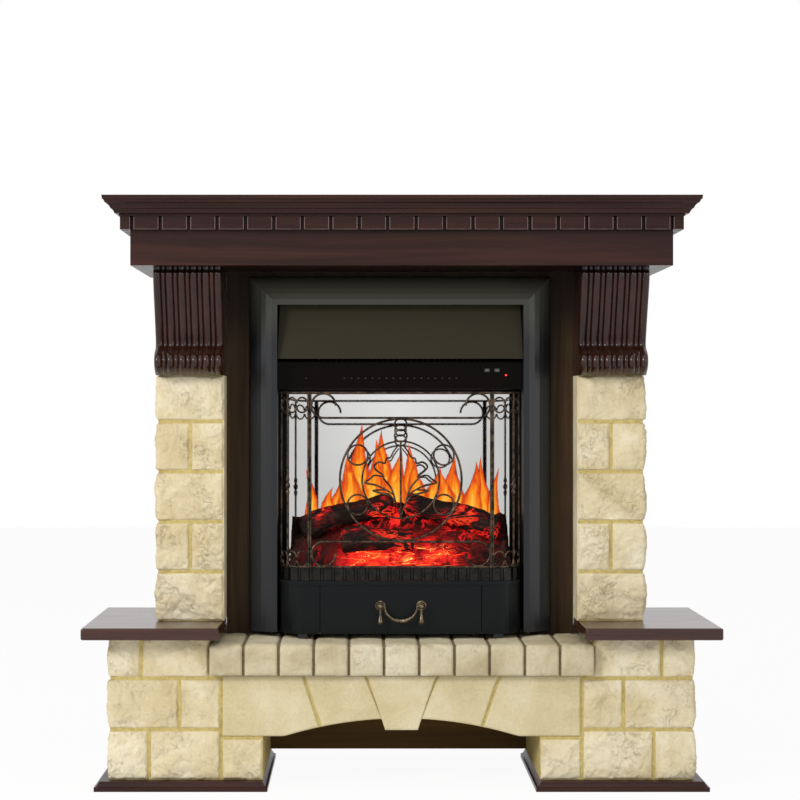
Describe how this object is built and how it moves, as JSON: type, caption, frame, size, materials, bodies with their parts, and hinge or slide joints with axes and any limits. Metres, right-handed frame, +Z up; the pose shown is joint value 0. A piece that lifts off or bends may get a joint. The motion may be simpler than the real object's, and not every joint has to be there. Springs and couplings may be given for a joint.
{
  "type": "electric fireplace suite",
  "caption": "Electric fireplace suite: timber mantel with reeded corbels, cast-stone pillars and arched brick hearth, round a black insert with scrolled fender, ember bed and ash drawer.",
  "frame": {"origin": "on the floor, in the middle of the suite's width and depth", "axes": "+Z up, -Y is the front that faces the room, +Y is the wall side, +X is the right-hand side seen from the front"},
  "size_m": [1.0516, 0.364, 0.978],
  "materials": {
    "timber": "dark brown satin stain",
    "ledge_timber": "dark brown semi-gloss stain",
    "dark_board": "near-black satin board",
    "carcass_board": "raw board",
    "cast_stone": "split-face cast stone",
    "hearth_brick": "rough cast brick",
    "black_steel": "satin black enamel",
    "hood_steel": "matt olive black",
    "zinc_steel": "zinc-coated sheet",
    "wrought_iron": "dark bronze black",
    "antique_brass": "antique burnished",
    "gloss_band": "gloss black",
    "grey_plastic": "matt grey",
    "black_plastic": "matt black",
    "red_lens": "clear red",
    "mirror_screen": "part-mirrored",
    "embers": "painted moulded embers",
    "logs": "painted moulded bark",
    "circuit_board": "green lacquer"
  },
  "bodies": {
    "suite": {"mantel_shelf": "timber", "dentil_band": "timber", "frieze_board": "timber", "soffit_board": "timber", "corbel_left": "timber", "corbel_right": "timber", "plinth_left": "timber", "plinth_right": "timber", "ledge_shelf_left": "ledge_timber", "ledge_shelf_right": "ledge_timber", "surround_panel": "dark_board", "hearth_deck": "carcass_board", "rear_stretcher": "carcass_board", "pillar_carcass_left": "carcass_board", "pillar_carcass_right": "carcass_board", "base_carcass_left": "carcass_board", "base_carcass_right": "carcass_board", "arch_cladding": "cast_stone", "pillar_cladding_left": "cast_stone", "pillar_cladding_right": "cast_stone", "base_cladding_left": "cast_stone", "base_cladding_right": "cast_stone", "hearth_bricks": "hearth_brick", "trim_frame": "black_steel", "base_shelf": "black_steel", "base_end_left": "black_steel", "base_end_right": "black_steel", "hood_plate": "hood_steel", "casing": "zinc_steel", "foot_rail_left": "zinc_steel", "foot_rail_right": "zinc_steel", "base_floor": "zinc_steel", "drawer_runner_left": "zinc_steel", "drawer_runner_right": "zinc_steel", "heater_housing": "zinc_steel", "blower_motor": "zinc_steel", "heating_element": "zinc_steel", "rotor_motor": "zinc_steel", "fluted_rail": "wrought_iron", "fender_front": "wrought_iron", "fender_wing_left": "wrought_iron", "fender_wing_right": "wrought_iron", "control_panel": "gloss_band", "indicator_lens": "red_lens", "flame_screen": "mirror_screen", "ember_bed": "embers", "log_left": "logs", "log_right": "logs", "log_centre": "logs", "led_board": "circuit_board", "cord_gland": "black_plastic"},
    "drawer": {"drawer_front": "black_steel", "drawer_tray": "zinc_steel", "handle_post_left": "antique_brass", "handle_post_right": "antique_brass"},
    "bail": {"bail_handle": "antique_brass"},
    "heat_key": {"heat_button": "grey_plastic"},
    "flame_key": {"flame_button": "grey_plastic"},
    "blower": {"blower_wheel": "grey_plastic"},
    "rotor": {"flame_rotor": "zinc_steel"}
  },
  "joints": [
    {"name": "drawer_slide", "type": "slide", "parent": "suite", "child": "drawer", "axis": [0, -1, 0], "range_m": [0, 0.085]},
    {"name": "bail_swing", "type": "hinge", "parent": "drawer", "child": "bail", "pos_m": [0, -0.0725, 0.2974], "axis": [-1, 0, 0], "range_deg": [0, 95]},
    {"name": "heat_button_press", "type": "slide", "parent": "suite", "child": "heat_key", "axis": [0, 1, 0], "range_m": [0, 0.0015], "stiffness_N_per_m": 600},
    {"name": "flame_button_press", "type": "slide", "parent": "suite", "child": "flame_key", "axis": [0, 1, 0], "range_m": [0, 0.0015], "stiffness_N_per_m": 600},
    {"name": "blower_spin", "type": "hinge", "parent": "suite", "child": "blower", "pos_m": [0, 0.095, 0.7648], "axis": [1, 0, 0], "continuous": true},
    {"name": "flame_rotor_spin", "type": "hinge", "parent": "suite", "child": "rotor", "pos_m": [0, 0.12025, 0.42], "axis": [1, 0, 0], "continuous": true}
  ]
}
